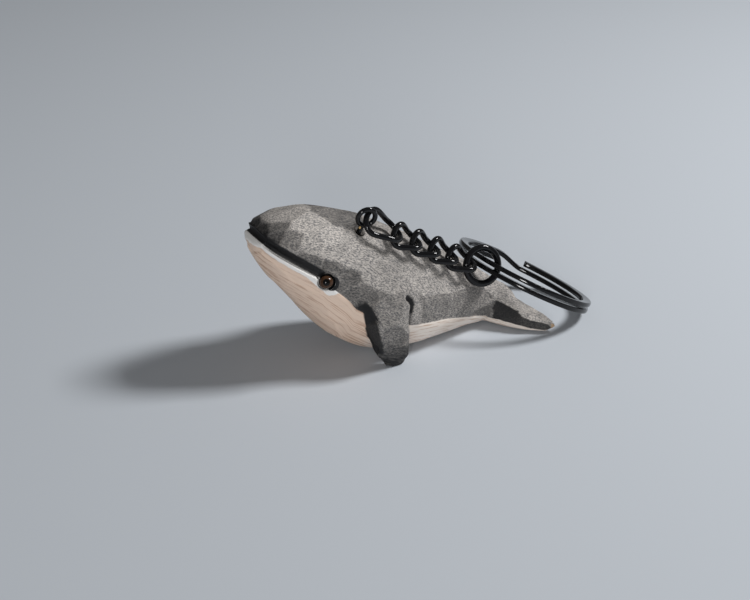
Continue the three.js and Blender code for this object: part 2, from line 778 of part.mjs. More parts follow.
joints.split_ring = { pivot: splitAt.held, axis: lifting(heldAlong, splitAt.down, splitAt.held.x) };

console.log('least gap of the split ring to itself, mm:', splitSelfGap().toFixed(3));
group.userData.joints = joints;
export default group;
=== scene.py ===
import math

import bmesh
import bpy
import numpy as np
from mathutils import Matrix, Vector


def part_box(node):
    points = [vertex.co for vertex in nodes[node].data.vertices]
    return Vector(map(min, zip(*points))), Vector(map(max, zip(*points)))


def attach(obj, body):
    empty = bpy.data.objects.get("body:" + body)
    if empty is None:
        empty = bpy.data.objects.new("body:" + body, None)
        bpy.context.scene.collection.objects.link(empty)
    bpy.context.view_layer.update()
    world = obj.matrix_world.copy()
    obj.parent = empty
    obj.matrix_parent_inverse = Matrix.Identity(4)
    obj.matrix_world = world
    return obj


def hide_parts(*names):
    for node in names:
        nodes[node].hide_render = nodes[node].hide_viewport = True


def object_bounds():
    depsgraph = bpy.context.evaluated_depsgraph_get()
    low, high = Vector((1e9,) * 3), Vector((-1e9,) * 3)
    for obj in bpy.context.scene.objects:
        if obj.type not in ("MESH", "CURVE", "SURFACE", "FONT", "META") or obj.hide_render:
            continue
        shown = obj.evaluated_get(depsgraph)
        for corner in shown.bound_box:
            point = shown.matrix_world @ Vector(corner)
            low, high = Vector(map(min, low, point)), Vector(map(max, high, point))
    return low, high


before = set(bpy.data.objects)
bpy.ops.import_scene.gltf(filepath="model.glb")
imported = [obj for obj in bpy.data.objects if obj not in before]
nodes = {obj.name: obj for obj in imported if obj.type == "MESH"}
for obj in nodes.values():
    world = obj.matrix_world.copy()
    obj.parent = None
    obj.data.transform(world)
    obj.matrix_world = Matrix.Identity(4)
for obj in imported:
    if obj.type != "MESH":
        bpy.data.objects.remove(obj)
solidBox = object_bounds()
scene = bpy.context.scene
scene.view_settings.view_transform = "Standard"
print("frame loaded,", len(nodes), "solids")


# a socket that can be used in sums; any other node comes from node()
class Strand:
    def __init__(self, tree, socket=None):
        self.tree = tree
        self.socket = socket

    def node(self, kind, settings=None, sockets=None, out=0):
        made = self.tree.nodes.new(kind)
        for key, value in (settings or {}).items():
            setattr(made, key, value)
        for key, value in (sockets or {}).items():
            if isinstance(value, Strand):
                self.tree.links.new(value.socket, made.inputs[key])
            elif isinstance(value, tuple) and len(value) == 3 and made.inputs[key].type == "RGBA":
                made.inputs[key].default_value = (*value, 1.0)
            else:
                made.inputs[key].default_value = value
        return Strand(self.tree, made.outputs[out])

    def math(self, operation, *values):
        return self.node("ShaderNodeMath", {"operation": operation}, dict(enumerate(values)))

    def __add__(self, other):
        return self.math("ADD", self, other)

    def __radd__(self, other):
        return self.math("ADD", other, self)

    def __sub__(self, other):
        return self.math("SUBTRACT", self, other)

    def __rsub__(self, other):
        return self.math("SUBTRACT", other, self)

    def __mul__(self, other):
        return self.math("MULTIPLY", self, other)

    def __rmul__(self, other):
        return self.math("MULTIPLY", other, self)

    # smooth 0 to 1 as the value goes from low to high
    def rise(self, low, high):
        sockets = {"Value": self, "From Min": low, "From Max": high}
        return self.node("ShaderNodeMapRange", {"interpolation_type": "SMOOTHSTEP"}, sockets)

    # between two colours
    def tint(self, a, b):
        return self.node("ShaderNodeMix", {"data_type": "RGBA"}, {0: self, 6: a, 7: b}, 2)


def newMaterial(name):
    made = bpy.data.materials.new(name)
    made.use_nodes = True
    return made, Strand(made.node_tree), made.node_tree.nodes["Principled BSDF"]


def feed(shader, name, strand):
    strand.tree.links.new(strand.socket, shader.inputs[name])


# lines on the body that carving and paint share; millimetres, the same on both sides
bodyLines = {
    # the mouth's lip and, behind it, the edge between grey and white: place along the body and height
    "paintEdge": [
        (-31.3, 27.3), (-30.4, 27.5), (-29.9, 26.9), (-27.8, 25.2), (-25.0, 23.3), (-22.4, 21.6),
        (-20.4, 20.2), (-19.0, 19.0), (-16.0, 16.2), (-14.4, 14.0), (-9.0, 10.6), (-3.5, 8.2),
        (2.0, 7.1), (7.6, 6.2), (13.2, 4.6), (18.4, 3.0), (24.0, 1.7), (31.0, 0.9),
    ],
    "mouthEnd": -19.6,
    # the belly's round section between the flippers: place along, half width, its height, keel
    "bellyRows": [(-15, 11.8, 16.6, 4.4), (-10, 12.0, 13.8, 1.4), (-4, 11.6, 11.2, -0.1)],
    # the flippers' fronts, as height and place along: where the flat face meets the belly,
    # the ridge on its outside, and the front edge where the flipper hangs free
    "flipperEdge": [
        (4.3, -9.5), (6.9, -10.9), (10.0, -12.4), (12.6, -13.4), (14.6, -13.7), (16.5, -13.9),
    ],
    "flipperRidge": [
        (3.3, -8.8), (6.5, -9.7), (8.7, -10.4), (12.3, -11.1), (15.1, -12.3), (16.5, -13.5),
    ],
    "flipperFree": [
        (1.0, -8.2), (2.8, -9.4), (4.3, -10.3), (6.5, -10.9), (8.5, -11.6), (12.5, -13.0),
    ],
    "flipperInside": 6,  # the flippers lie further out than this
    "headRidge": [
        (-24.0, 27.0), (-20.8, 25.3), (-17.8, 24.2), (-14.7, 22.2), (-12.0, 19.4), (-10.4, 16.7),
    ],
    # undercut behind each flipper's root, and the crease below it; both are carved, and darkened with
    # painted shade
    "notch": [(-3.5, 14.2), (-2.2, 12.9), (-2.0, 12.0), (-2.5, 11.0)],
    "crease": [(-2.5, 11.0), (-2.9, 9.4), (-3.0, 8.0)],
    "grooveInside": 8.5,  # both lie further out than this
}
farOff = 9.0  # stands for any longer distance

# body: the solid's surface cut into flat knife strokes; pairs are where a change starts and ends
carving = {
    "voxel": 0.22,
    "evenPasses": 6,
    "evenPull": 0.5,
    "lipKeep": 0.4,  # how much of that pull the lip is spared
    "lipReach": (0.6, 1.4),
    # the flipper's top melts into the flank
    "shoulderPasses": 160,
    "shoulderPull": 0.5,
    "shoulderHeights": (11, 15, 20, 23),
    "shoulderPlaces": (-18.5, -15.5, -5, -2.5),
    "shoulderSide": (6.5, 8.5),
    # the flippers' free front edges are trimmed where they stand out from the belly
    "trimOut": (0.2, 0.8),
    "trimTop": (10.5, 12.5),
    # the flat faces in front of the flippers
    "flatHeights": (8.0, 10.5, 15, 17),
    "flatStart": (-17.5, -16.5),
    "flatLeast": 0.5,
    "frontPasses": 45,
    "frontPull": 0.45,
    "frontHeights": (3, 6, 14, 16),
    "frontOut": (0, 0.3),
    # the upper jaw steps in above the lip
    "mouthStep": (0.9, 0.55, 0.35),  # at the tip, further back and near the eye
    "mouthPlaces": (-30, -26, -20.1),
    "stepHeights": (-0.1, 0.2, 0.5, 2.6),
    # knife cuts
    "seed": 5,
    "tries": 9000,
    "depth": 0.10,  # how far the cuts lie inside the solid, on average
    "deepest": 0.55,
    "proudest": 0.04,
    "ridgeWidth": 0.30,  # neighbouring cuts blend over this
    "ridgeMark": (0.05, 0.5),
    "backCut": 6.5,
    "sideCut": 4.2,
    "bellyCut": 7.0,
    "tailCut": 3.4,
    "stretch": 1.7,  # cuts are this much longer along the body
    "turnCost": 5.0,  # keeps one cut from reaching round an edge
    "tailRidge": [(4.0, 12.4), (8.5, 11.4), (13.5, 10.6), (18.5, 9.6)],
    "ridgeStep": 5.0,
    "ridgeAside": 2.4,
    # painted light and shade: the cuts above a ridge are lighter, those below it darker
    "ridgeTones": (0.25, -0.25),  # above and below a ridge
    "toneRange": 0.45,
    # cuts given one by one, mirrored: place along, height and tone from dark to light
    "headCuts": [
        (-29.5, 29.5, -0.7), (-27.4, 30.3, -0.55), (-28.2, 28.7, -0.65), (-25.7, 28.4, -0.25),
        (-25.7, 31.4, 0.2), (-21.0, 30.1, 0.5), (-18.0, 27.6, 0.6), (-13.6, 29.7, -0.5),
        (-12.4, 26.4, 0.3),
    ],
    "flipperCuts": [
        (-13.2, 12.4, -0.8), (-12.0, 7.6, -0.8), (-8.6, 12.6, -0.1), (-7.6, 6.8, -0.15),
        (-6.2, 2.6, -0.3),
    ],
    # where the cuts change size
    "bellyFade": (-0.5, 0.8),
    "snoutFade": (-24, -19),
    "tailFade": (17, 20),
    "flipperSide": (11.8, 12.6),
    "flipperTop": (15, 18),
    # how strong they are, and what they keep clear of
    "strength": 0.9,
    "bellySpared": 0.5,
    "eyeSpot": (-20.0, 10.4, 20.3),
    "eyeClear": (1.9, 3.2),
    "screwSpot": (-10.4, -5.0, 27.0),
    "screwClear": (1.2, 3.0),
    "lipClear": (0.5, 1.4),
    "lipPast": 10,  # behind the mouth nothing is kept clear
    "floorClear": (0.25, 1.2),
    "notchWidth": 0.8,
    "notchDepth": 0.8,
    "creaseWidth": 0.7,
    "creaseDepth": 0.35,
}


def roughBody(voxel):
    copy = bpy.data.objects.new("roughBody", nodes["whale_body"].data.copy())
    scene.collection.objects.link(copy)
    step = copy.modifiers.new("even", "REMESH")
    step.mode = "VOXEL"
    step.voxel_size = voxel * 0.001
    mesh = bpy.data.meshes.new_from_object(copy.evaluated_get(bpy.context.evaluated_depsgraph_get()))
    bpy.data.objects.remove(copy)
    return mesh


# millimetres in the lists of points, metres in the mesh
def readMesh(mesh):
    points = np.empty(len(mesh.vertices) * 3)
    mesh.vertices.foreach_get("co", points)
    edges = np.empty(len(mesh.edges) * 2, int)
    mesh.edges.foreach_get("vertices", edges)
    return points.reshape(-1, 3) * 1000, edges.reshape(-1, 2)


def writePoints(mesh, points):
    mesh.vertices.foreach_set("co", (points * 0.001).ravel())
    mesh.update()


def normalsOf(mesh):
    normals = np.empty(len(mesh.vertices) * 3)
    mesh.vertex_normals.foreach_get("vector", normals)
    return normals.reshape(-1, 3)


def smoothFaces(mesh):
    mesh.polygons.foreach_set("use_smooth", np.ones(len(mesh.polygons), bool))


# moves each point towards the mean of its neighbours
def relax(points, edges, weight, passes):
    count = np.maximum(np.bincount(edges.ravel(), minlength=len(points)), 1)
    a, b = edges[:, 0], edges[:, 1]
    for _ in range(passes):
        mean = np.empty_like(points)
        for axis in range(3):
            value = points[:, axis]
            total = np.bincount(a, value[b], len(points)) + np.bincount(b, value[a], len(points))
            mean[:, axis] = total / count
        points = points + (mean - points) * weight[:, None]
    return points


def ease(value, low, high):
    t = np.clip((value - low) / (high - low), 0, 1)
    return t * t * (3 - 2 * t)


# up from the first place to the second, down from the third to the fourth
def between(value, places):
    return ease(value, *places[:2]) * (1 - ease(value, *places[2:]))


# nearest surface point to a place along the body and a height, on one side and facing outwards
def onSurface(points, normals, along, height, side):
    off = (points[:, 0] - along) ** 2 + (points[:, 2] - height) ** 2
    off = off + 100 * (points[:, 1] * side < -0.3) + 4 * np.maximum(0, 0.2 - normals[:, 1] * side)
    return int(np.argmin(off))


def alongLine(line, step):
    line = np.array(line)
    run = np.concatenate([[0], np.cumsum(np.linalg.norm(np.diff(line, axis=0), axis=1))])
    at = np.linspace(0, run[-1], max(2, int(round(run[-1] / step)) + 1))
    return np.stack([np.interp(at, run, line[:, 0]), np.interp(at, run, line[:, 1])], 1)


# middles of the cuts and their tones: placed ones first, then seeded ones wherever there is room
def cutMiddles(points, normals, c, room):
    rng = np.random.default_rng(c["seed"])
    chosen = {}
    for side in (-1, 1):
        for along, height, tone in c["headCuts"] + c["flipperCuts"]:
            chosen[onSurface(points, normals, along, height, side)] = tone
        for ridge in (bodyLines["headRidge"], c["tailRidge"]):
            line = alongLine(ridge, c["ridgeStep"])
            for (x0, z0), (x1, z1) in zip(line, line[1:]):
                i = onSurface(points, normals, (x0 + x1) / 2, (z0 + z1) / 2, side)
                run = np.array([x1 - x0, 0, z1 - z0])
                upwards = np.cross(normals[i], run / np.linalg.norm(run)) * -side
                # painted light on the cut above each ridge, painted shade on the one below
                for way, tone in zip((1, -1), c["ridgeTones"]):
                    spot = points[i] + upwards * way * c["ridgeAside"]
                    chosen[int(np.argmin(((points - spot) ** 2).sum(1)))] = tone
    for i in rng.permutation(len(points))[:c["tries"]]:
        placed = list(chosen)
        if (cutDistance(points[i], normals[i], points[placed], normals[placed], c) > room[i] ** 2).all():
            chosen[int(i)] = rng.uniform(-1, 1) * c["toneRange"]
    return np.array(list(chosen)), np.array(list(chosen.values()))


def cutDistance(point, normal, middles, middleNormals, c):
    gap = middles - point
    gap = gap * (1 / c["stretch"], 1, 1)
    return (gap ** 2).sum(-1) + (c["turnCost"] ** 2) * (1 - (middleNormals * normal).sum(-1))


def nearestCuts(points, normals, middles, middleNormals, c, count=4, batch=4000):
    index = np.empty((len(points), count), int)
    away = np.empty((len(points), count))
    for start in range(0, len(points), batch):
        part = slice(start, start + batch)
        d = cutDistance(points[part, None], normals[part, None], middles[None], middleNormals[None], c)
        order = np.argsort(d, axis=1)[:, :count]
        index[part] = order
        away[part] = np.take_along_axis(d, order, 1)
    return index, away


# flattens the surface onto the mean plane of each cut
def carve(points, normals, c, room, strength):
    chosen, tone = cutMiddles(points, normals, c, room)
    middles, turned = points[chosen], normals[chosen]
    index, away = nearestCuts(points, normals, middles, turned, c)
    own = index[:, 0]
    size = np.maximum(np.bincount(own, minlength=len(chosen)), 1)[:, None]
    middle = np.stack([np.bincount(own, points[:, k], len(chosen)) for k in range(3)], 1) / size
    facing = np.stack([np.bincount(own, normals[:, k], len(chosen)) for k in range(3)], 1)
    facing /= np.maximum(np.linalg.norm(facing, axis=1, keepdims=True), 1e-9)
    reach = np.sqrt(np.maximum(away, 0))
    share = np.exp(-((reach - reach[:, :1]) / c["ridgeWidth"]) ** 2 * 2)
    share /= share.sum(1, keepdims=True)
    lift = ((middle[index] - points[:, None]) * facing[index]).sum(2)
    lift /= np.maximum((facing[index] * normals[:, None]).sum(2), 0.4)
    shift = (lift * share).sum(1) - c["depth"]
    shift = np.clip(shift, -c["deepest"], c["proudest"]) * strength
    ridge = 1 - ease(reach[:, 1] - reach[:, 0], *c["ridgeMark"])
    return points + normals * shift[:, None], ridge, (tone[index] * share).sum(1), len(chosen)


# distance to a line in the side view, on the outside of the flippers and flanks
def lineAway(points, line):
    x, y, z = points.T
    away = np.full(len(points), farOff)
    for (x0, z0), (x1, z1) in zip(line, line[1:]):
        a, b = x1 - x0, z1 - z0
        t = np.clip(((x - x0) * a + (z - z0) * b) / (a * a + b * b), 0, 1)
        away = np.minimum(away, np.hypot(x - x0 - t * a, z - z0 - t * b))
    return np.where(np.abs(y) > bodyLines["grooveInside"], away, farOff)


def edgeHeight(along):
    x, z = np.array(bodyLines["paintEdge"]).T
    return np.interp(along, x, z)


def bellyHalf(along, height):
    at, beam, widest, keel = np.array(bodyLines["bellyRows"]).T
    beam, widest, keel = [np.interp(along, at, row) for row in (beam, widest, keel)]
    drop = np.clip((widest - height) / (widest - keel), 0, 1)
    return beam * np.sqrt(1 - drop ** 2)


def atHeight(height, name):
    z, x = np.array(bodyLines[name]).T
    return np.interp(height, z, x)


def evenOut(points, edges, c):
    x, y, z = points.T
    mouthEnd = bodyLines["mouthEnd"]
    nearLip = (1 - ease(np.abs(z - edgeHeight(x)), *c["lipReach"])) * (1 - ease(x, mouthEnd, mouthEnd + 1))
    return relax(points, edges, c["evenPull"] - c["lipKeep"] * nearLip, c["evenPasses"])


def meltShoulder(points, edges, c):
    x, y, z = points.T
    shoulder = between(z, c["shoulderHeights"]) * between(x, c["shoulderPlaces"])
    shoulder *= ease(np.abs(y), *c["shoulderSide"])
    return relax(points, edges, c["shoulderPull"] * shoulder, c["shoulderPasses"])


# in front of the flippers the belly runs on, then a flat face leads out to each flipper's ridge
def shapeFlippers(points, edges, c):
    x, y, z = points.T
    inside = bodyLines["flipperInside"]
    out = np.maximum(0, np.abs(y) - bellyHalf(x, z))
    trimmed = np.maximum(x, atHeight(z, "flipperFree"))
    trim = ease(out, *c["trimOut"]) * (np.abs(y) > inside) * (1 - ease(z, *c["trimTop"]))
    points[:, 0] += (trimmed - x) * trim
    x, y, z = points.T
    out = np.maximum(0, np.abs(y) - bellyHalf(x, z))
    first, last = atHeight(z, "flipperEdge"), atHeight(z, "flipperRidge")
    gone = 1 - np.clip((x - first) / np.maximum(last - first, c["flatLeast"]), 0, 1)
    gone *= between(z, c["flatHeights"]) * ease(x, *c["flatStart"])
    points[:, 1] -= np.sign(y) * out * gone
    near = ease(last + 1 - x, 0, 1) * between(z, c["frontHeights"]) * (np.abs(y) > inside)
    return relax(points, edges, c["frontPull"] * near * ease(out, *c["frontOut"]), c["frontPasses"])


# the upper jaw steps in above the lip, most at the snout's tip
def stepMouth(points, normals, c):
    x, y, z = points.T
    level = normals * (1, 1, 0)
    level /= np.maximum(np.linalg.norm(level, axis=1, keepdims=True), 0.3)
    step = np.interp(x, (*c["mouthPlaces"], bodyLines["mouthEnd"]), (*c["mouthStep"], 0))
    return points - level * (step * between(z - edgeHeight(x), c["stepHeights"]))[:, None]


# the room that each cut needs, and how strongly it flattens
def planCuts(points, c):
    x, y, z = points.T
    mouthEnd = bodyLines["mouthEnd"]
    belly = ease(edgeHeight(x) - z, *c["bellyFade"])
    snout = 1 - ease(x, *c["snoutFade"])
    tail = ease(x, *c["tailFade"])
    flipper = ease(np.abs(y), *c["flipperSide"]) * (1 - ease(z, *c["flipperTop"]))
    room = c["backCut"] + (c["sideCut"] - c["backCut"]) * np.maximum(snout, flipper)
    room = room + (c["bellyCut"] - room) * belly * (1 - flipper)
    room = room + (c["tailCut"] - room) * tail
    eyeAway = np.linalg.norm(np.stack([x, np.abs(y), z], 1) - c["eyeSpot"], axis=1)
    screwAway = np.linalg.norm(points - c["screwSpot"], axis=1)
    lip = np.abs(z - edgeHeight(x)) + c["lipPast"] * ease(x, mouthEnd, mouthEnd + 1)
    strength = c["strength"] - c["bellySpared"] * belly * (1 - flipper)
    strength *= ease(eyeAway, *c["eyeClear"]) * ease(screwAway, *c["screwClear"])
    strength *= ease(lip, *c["lipClear"]) * ease(z, *c["floorClear"])
    return room, strength


def makeBody(c):
    mesh = roughBody(c["voxel"])
    points, edges = readMesh(mesh)
    for step in (evenOut, meltShoulder, shapeFlippers):
        points = step(points, edges, c)
    writePoints(mesh, points)
    points = stepMouth(points, normalsOf(mesh), c)
    writePoints(mesh, points)
    normals = normalsOf(mesh)
    room, strength = planCuts(points, c)
    points, ridge, tone, cuts = carve(points, normals, c, room, strength)
    for name in ("notch", "crease"):
        groove = 1 - ease(lineAway(points, bodyLines[name]), 0, c[name + "Width"])
        points = points - normals * (groove * c[name + "Depth"])[:, None]
    points[:, 2] = np.maximum(points[:, 2], 0.0)  # nothing below the floor
    writePoints(mesh, points)
    mesh.name = "carvedBody"
    made = bpy.data.objects.new("carvedBody", mesh)
    scene.collection.objects.link(made)
    smoothFaces(mesh)
    print("body carved,", len(points), "points,", cuts, "cuts")
    return made, points, ridge * strength, tone


def addAttribute(mesh, name, values):
    mesh.attributes.new(name, "FLOAT", "POINT").data.foreach_set("value", values.astype(np.float32))


# painted marks as signed distances in millimetres, positive inside the mark
marks = {
    "wellInside": 5,  # stands for any longer distance inside a mark, or with a minus outside it
    "ledge": 0.25,  # the lip's upper face is white too
    # black along the mouth
    "bandWidth": (2.4, 2.1),  # at the snout and at the eye
    "bandStart": -31,
    "bandGap": 0.1,
    "bandLean": 0.7,  # distance to a leaning edge, for each millimetre along the body
    "crescentSpot": (-18.95, 19.9),
    "crescentRadius": 1.4,
    "crescentInside": 7,
    # grey of the flippers
    "flipperSpan": (-16.5, -1.5),
    "flipperStep": 0.35,  # how far the flipper stands out where its grey begins
    "flipperLean": 0.8,
    "flipperTop": 17,
    "joinedAbove": 11.5,  # above this the flat face bounds the grey, below it the free edge
    "freeAbove": 6,
    "freeSlack": 0.25,
    # nearly black facets on the flippers' fronts
    "frontLow": 3.6,
    "frontOver": 0.3,
    # flukes: height of the white edge by distance from the middle, and the leading faces, black where they
    # face forwards and outwards: partly black paint, partly painted shade
    "flukeEdge": [(3.5, 2.1), (5.3, 2.05), (6.9, 1.8), (8.4, 1.5), (9.8, 1.2), (10.8, 0.85)],
    "flukeFade": (18.2, 19.6),
    "flukeFrom": 18.6,
    "flukeBlack": 19.8,
    "flukeFacing": (-0.55, 0.8),
    "flukeTurn": 0.70,
    "flukeSharp": 3,
    "nickSpot": (30.2, 11.8, 1.6),
    "nickRadius": 1.2,
    # darkness added to the grey
    "mouthShade": 0.06,
    "snoutShade": 0.06,
    "snoutFade": (-25, -22),
    "mouthShadeHeights": (0.3, 5.0),
    "mouthShadeEnd": (-19, -16),
    "flipperShade": 0.08,
    "tipShade": 0.40,
    "tipHeights": (0.5, 9),
    # painted shade in the undercut behind each flipper and in the crease below it
    "notchShade": 0.8,
    "notchFade": (0.25, 0.75),
    "creaseShade": 0.4,
    "creaseFade": (0.15, 0.65),
    # painted shade on the cheek below the head's ridge
    "cheekShade": 0.13,
    "cheekFade": (-0.15, 0.25),
    "cheekLow": (12.5, 15),
    "cheekPlaces": (-24.4, -23.6, -10.6, -10.0),
    "shades": [  # soft patches of darker or lighter grey: place along, height, radius, amount
        (-20.5, 28.5, 9.0, -0.08), (-5.5, 20.0, 6.0, 0.18), (22.3, 5.4, 3.4, 0.32),
    ],
    "shadeCore": 0.2,  # share of the radius with the full amount
}


# height below the edge of the grey
def belowEdge(x, side, z, m):
    mouthEnd = bodyLines["mouthEnd"]
    below = edgeHeight(x) - z
    below = below + m["ledge"] * (1 - ease(x, mouthEnd - 1, mouthEnd))
    return below + (np.interp(side, *np.array(m["flukeEdge"]).T) - edgeHeight(x)) * ease(x, *m["flukeFade"])


# all of each flipper is grey: what stands out from the belly
def onFlipper(x, side, z, m):
    first, last = m["flipperSpan"]
    flipper = np.minimum(side - bellyHalf(x, z) - m["flipperStep"], np.minimum(x - first, last - x))
    joined = (x - atHeight(z, "flipperEdge")) * m["flipperLean"]
    free = (x - atHeight(z, "flipperFree") + m["freeSlack"]) * m["flipperLean"]
    free = np.where(z > m["freeAbove"], free, m["wellInside"])
    flipper = np.minimum(flipper, np.where(z > m["joinedAbove"], joined, free))
    return np.where((z < m["flipperTop"]) & (side > bodyLines["flipperInside"]), flipper, -m["wellInside"])


# darkness of the grey: towards the mouth, on the flippers and most at their lower ends, painted shade in the
# undercut and crease behind each flipper and on the cheek, and soft patches
def greyShade(points, above, flipper, m):
    x, y, z = points.T
    nearMouth = m["mouthShade"] + m["snoutShade"] * (1 - ease(x, *m["snoutFade"]))
    shade = nearMouth * (1 - ease(above, *m["mouthShadeHeights"])) * (1 - ease(x, *m["mouthShadeEnd"]))
    tip = m["flipperShade"] + m["tipShade"] * (1 - ease(z, *m["tipHeights"]))
    shade = shade + ease(flipper, -0.5, 0.5) * tip
    # painted shade along the undercut and the crease
    for name in ("notch", "crease"):
        shade = shade + m[name + "Shade"] * (1 - ease(lineAway(points, bodyLines[name]), *m[name + "Fade"]))
    # painted shade: the head's ridge parts a lighter back from a darker cheek
    ridgeHeight = np.interp(x, *np.array(bodyLines["headRidge"]).T)
    cheek = ease(ridgeHeight - z, *m["cheekFade"]) * ease(z, *m["cheekLow"])
    shade = shade + m["cheekShade"] * cheek * between(x, m["cheekPlaces"])
    for along, height, radius, amount in m["shades"]:
        away = np.hypot(x - along, z - height)
        shade = shade + amount * (1 - ease(away, m["shadeCore"] * radius, radius))
    return shade


def markBody(mesh, points, ridge, tone, m):
    normals = normalsOf(mesh)
    x, y, z = points.T
    side = np.abs(y)
    mouthEnd = bodyLines["mouthEnd"]
    below = belowEdge(x, side, z, m)
    flipper = onFlipper(x, side, z, m)
    reach = np.interp(x, (m["bandStart"], mouthEnd), m["bandWidth"])
    band = np.minimum(-below - m["bandGap"], reach + below)
    band = np.minimum(band, (mouthEnd - x) * m["bandLean"])
    spotX, spotZ = m["crescentSpot"]
    crescent = m["crescentRadius"] - np.hypot(x - spotX, z - spotZ)
    crescent = np.where(side > m["crescentInside"], crescent, -m["wellInside"])
    # the nearly black facets along the flippers' fronts, and the flukes' leading faces; on the flukes the
    # black is partly painted shade, chosen by which way each face turns
    front = np.minimum(atHeight(z, "flipperRidge") - x, (z - m["frontLow"]) * m["flipperLean"])
    front = np.minimum(front, np.minimum(flipper + m["frontOver"], m["flipperTop"] - z))
    forwards, outwards = m["flukeFacing"]
    face = normals[:, 0] * forwards + normals[:, 1] * np.sign(y) * outwards
    fluke = np.minimum((face - m["flukeTurn"]) * m["flukeSharp"], x - m["flukeBlack"])
    leading = np.where(x > m["flukeFrom"], fluke, front)
    nick = m["nickRadius"] - np.linalg.norm(np.stack([x, side, z], 1) - m["nickSpot"], axis=1)
    shade = greyShade(points, -below - reach, flipper, m)
    values = {
        "below": below, "flipper": flipper, "band": band, "crescent": crescent, "shade": shade,
        "leading": leading, "nick": nick, "ridge": ridge, "tone": tone,
    }
    for name, value in values.items():
        addAttribute(mesh, name, value)


# paint: colours in linear values, places and widths in millimetres
paint = {
    "greyLight": (0.70, 0.645, 0.59),
    "greyDark": (0.165, 0.163, 0.167),
    # black base of the paint, also the colour of painted shade
    "blackBaseAndShade": (0.020, 0.020, 0.021),
    "black": (0.010, 0.010, 0.011),
    "throat": (0.86, 0.67, 0.54),
    "belly": (0.88, 0.79, 0.71),
    "whiteGrain": (0.46, 0.26, 0.16),
    "rim": (0.95, 0.93, 0.90),
    "bareWood": (0.52, 0.36, 0.22),
    # noise in the grey: waves in each millimetre along the brush strokes and across them
    "strokeWay": (0.9, 0.43),
    "speck": (2.0, 5.2),
    "streak": (0.6, 2.6),
    "blotch": (0.3, 0.45),
    "speckFade": (0.34, 0.66),
    "wobble": 0.9,  # waves in each millimetre of the painted edges
    # darkness of the grey
    "meanShade": 0.38,
    "facetShade": 0.60,  # how much the cuts differ
    "ridgeShade": 0.14,
    "blotchShade": 0.35,
    "streakShade": 0.45,
    # wood's grain on the belly: waves along, by depth below the lip and across, and how it shows
    "grain": (0.12, 2.4, 0.3),
    "grainFade": (0.47, 0.68),
    "thin": (0.35, 0.8, 0.5),
    "thinShow": (0.30, 0.7),
    "throatFade": (-13.0, -8.0),
    # white rim below the mouth: it widens towards the eye and tapers off behind it
    "rimWidth": 1.15,
    "rimSway": 0.6,
    "rimMore": 1.1,
    "rimMoreFade": (-24.0, -20.5),
    "rimLess": 2.9,
    "rimLessFade": (-20.2, -16.6),
    "rimSoft": (-0.15, 0.2),
    "rimPast": 3.4,  # how far behind the mouth it ends at the latest
    "rimEndSoft": (-0.4, 0.4),
    "flipperSoft": (-0.1, 0.15),
    # how far each edge sways, and where its paint starts and is full
    "edges": {
        "white": (0.35, -0.08, 0.10), "band": (0.5, -0.15, 0.25), "crescent": (0.3, -0.1, 0.1),
        "leading": (0.7, -0.2, 0.3), "nick": (0.9, 0.0, 0.25),
    },
    "bandRagged": 0.6,
    "frontBlack": 0.92,
    "flukeTipLighter": 0.12,
    "flukeTipLighterFade": (23.0, 25.0),
    "rough": 0.72,
    "bandGloss": 0.18,
    "crescentGloss": 0.5,
    "speckGloss": 0.2,
    "bumpStrength": 0.30,
    "bumpHeight": 0.00006,
    "shine": 0.3,
}


